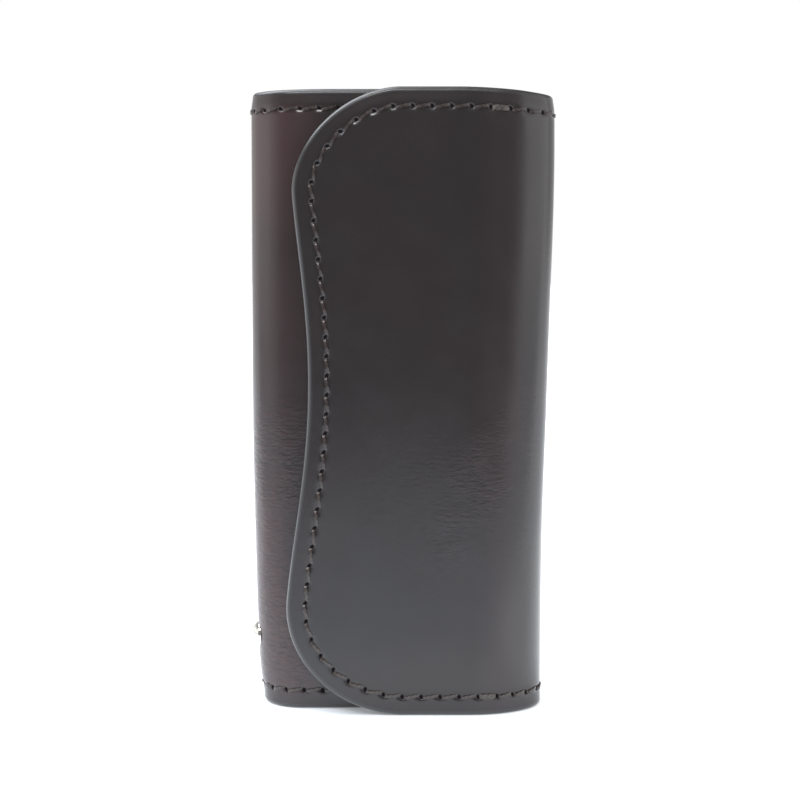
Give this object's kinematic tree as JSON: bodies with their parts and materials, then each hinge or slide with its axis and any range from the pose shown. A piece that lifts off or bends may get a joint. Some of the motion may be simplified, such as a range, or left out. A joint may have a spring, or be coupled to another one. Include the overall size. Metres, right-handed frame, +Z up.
{
  "type": "key case",
  "caption": "Folded leather key case with an S-edged flap over the front, held by a hidden press snap, with a riveted row of swivelling, gated key hooks inside.",
  "frame": {"origin": "middle of the base end, on the surface that the folded case stands on", "axes": "+Z up along the case, +X to the right as seen from the front, +Y to the back; the flap faces -Y"},
  "size_m": [0.0543, 0.0176, 0.11],
  "materials": {
    "outer_leather": "smooth polished dark chocolate leather",
    "lining_leather": "matt dark brown lining leather",
    "nickel": "bright nickel plate",
    "spring_steel": "plain spring steel"
  },
  "bodies": {
    "case_back": {"back_outer": "outer_leather", "back_lining": "lining_leather", "hook_plate": "nickel", "rivet_caps": "nickel", "rivet_posts": "nickel"},
    "case_flap": {"flap_outer": "outer_leather", "flap_lining": "lining_leather", "snap_cap": "nickel", "snap_socket": "nickel", "snap_spring": "spring_steel"},
    "case_front_panel": {"front_panel_outer": "outer_leather", "front_panel_lining": "lining_leather", "snap_stud": "nickel", "snap_post": "nickel"},
    "key_hook_1": {"hook_1": "nickel", "hook_1_gate_pin": "spring_steel"},
    "key_gate_1": {"hook_1_gate": "spring_steel"},
    "key_hook_2": {"hook_2": "nickel", "hook_2_gate_pin": "spring_steel"},
    "key_gate_2": {"hook_2_gate": "spring_steel"},
    "key_hook_3": {"hook_3": "nickel", "hook_3_gate_pin": "spring_steel"},
    "key_gate_3": {"hook_3_gate": "spring_steel"},
    "key_hook_4": {"hook_4": "nickel", "hook_4_gate_pin": "spring_steel"},
    "key_gate_4": {"hook_4_gate": "spring_steel"},
    "key_hook_5": {"hook_5": "nickel", "hook_5_gate_pin": "spring_steel"},
    "key_gate_5": {"hook_5_gate": "spring_steel"},
    "key_hook_6": {"hook_6": "nickel", "hook_6_gate_pin": "spring_steel"},
    "key_gate_6": {"hook_6_gate": "spring_steel"}
  },
  "joints": [
    {"name": "flap_fold", "type": "hinge", "parent": "case_back", "child": "case_flap", "pos_m": [0.0256, -0.00075, 0], "axis": [0.0127, 0.0136, 0.9998], "range_deg": [0, 170]},
    {"name": "front_panel_fold", "type": "hinge", "parent": "case_back", "child": "case_front_panel", "pos_m": [-0.02384, -0.00299, 0], "axis": [0.0167, -0.0233, -0.9996], "range_deg": [0, 95]},
    {"name": "hook_1_swivel", "type": "hinge", "parent": "case_back", "child": "key_hook_1", "pos_m": [-0.0176, 0.0018, 0.016], "axis": [0, 0, 1], "continuous": true},
    {"name": "hook_1_gate_hinge", "type": "hinge", "parent": "key_hook_1", "child": "key_gate_1", "pos_m": [-0.01638, 0.0018, 0.0194], "axis": [0, -1, 0], "range_deg": [0, 8], "stiffness_Nm_per_rad": 0.002},
    {"name": "hook_2_swivel", "type": "hinge", "parent": "case_back", "child": "key_hook_2", "pos_m": [-0.0108, 0.0018, 0.016], "axis": [0, 0, 1], "continuous": true},
    {"name": "hook_2_gate_hinge", "type": "hinge", "parent": "key_hook_2", "child": "key_gate_2", "pos_m": [-0.00958, 0.0018, 0.0194], "axis": [0, -1, 0], "range_deg": [0, 8], "stiffness_Nm_per_rad": 0.002},
    {"name": "hook_3_swivel", "type": "hinge", "parent": "case_back", "child": "key_hook_3", "pos_m": [-0.004, 0.0018, 0.016], "axis": [0, 0, 1], "continuous": true},
    {"name": "hook_3_gate_hinge", "type": "hinge", "parent": "key_hook_3", "child": "key_gate_3", "pos_m": [-0.00278, 0.0018, 0.0194], "axis": [0, -1, 0], "range_deg": [0, 8], "stiffness_Nm_per_rad": 0.002},
    {"name": "hook_4_swivel", "type": "hinge", "parent": "case_back", "child": "key_hook_4", "pos_m": [0.0028, 0.0018, 0.016], "axis": [0, 0, 1], "continuous": true},
    {"name": "hook_4_gate_hinge", "type": "hinge", "parent": "key_hook_4", "child": "key_gate_4", "pos_m": [0.00402, 0.0018, 0.0194], "axis": [0, -1, 0], "range_deg": [0, 8], "stiffness_Nm_per_rad": 0.002},
    {"name": "hook_5_swivel", "type": "hinge", "parent": "case_back", "child": "key_hook_5", "pos_m": [0.0096, 0.0018, 0.016], "axis": [0, 0, 1], "continuous": true},
    {"name": "hook_5_gate_hinge", "type": "hinge", "parent": "key_hook_5", "child": "key_gate_5", "pos_m": [0.01082, 0.0018, 0.0194], "axis": [0, -1, 0], "range_deg": [0, 8], "stiffness_Nm_per_rad": 0.002},
    {"name": "hook_6_swivel", "type": "hinge", "parent": "case_back", "child": "key_hook_6", "pos_m": [0.0164, 0.0018, 0.016], "axis": [0, 0, 1], "continuous": true},
    {"name": "hook_6_gate_hinge", "type": "hinge", "parent": "key_hook_6", "child": "key_gate_6", "pos_m": [0.01762, 0.0018, 0.0194], "axis": [0, -1, 0], "range_deg": [0, 8], "stiffness_Nm_per_rad": 0.002}
  ],
  "couplings": [
    {"joint": "front_panel_fold", "follows": "flap_fold", "ratio": 0.55}
  ]
}
